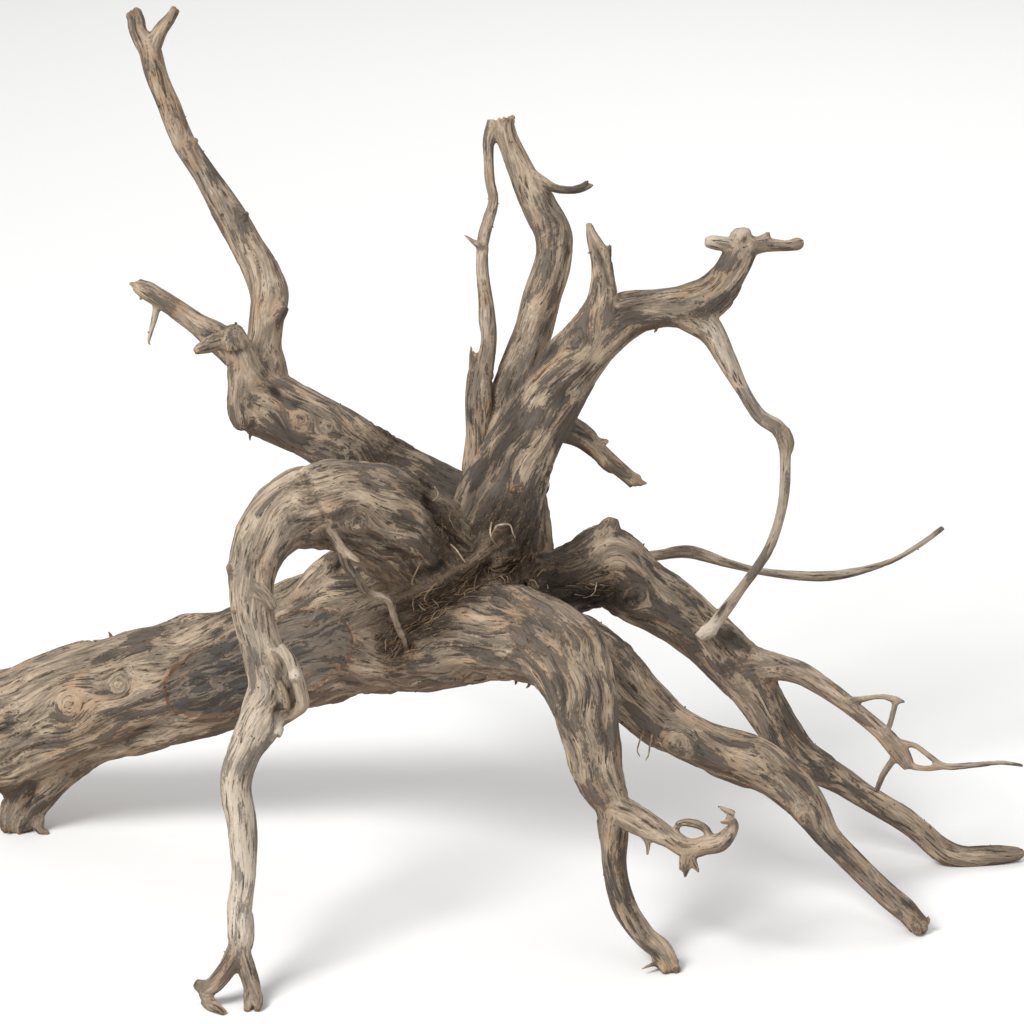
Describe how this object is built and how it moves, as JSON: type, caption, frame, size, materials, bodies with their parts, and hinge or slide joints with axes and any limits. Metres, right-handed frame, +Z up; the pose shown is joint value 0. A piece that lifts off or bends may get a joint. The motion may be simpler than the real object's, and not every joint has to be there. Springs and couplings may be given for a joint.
{
  "type": "piece of driftwood",
  "caption": "Washed-out tree root stock lying on its side: a short trunk, a root crown whose arching roots stand on their tips, and broken limbs rising free.",
  "frame": {"origin": "on the ground, under the middle of the box round the whole piece", "axes": "+X from the trunk's end towards the long root tips, +Z up; the side with the arching front roots faces -Y"},
  "size_m": [0.8611, 0.526, 0.6537],
  "materials": {
    "weathered_wood": "bare, sun-bleached and water-worn, matt, streaked grey and brown along the grain"
  },
  "bodies": {
    "root": {"driftwood": "weathered_wood"}
  },
  "joints": []
}
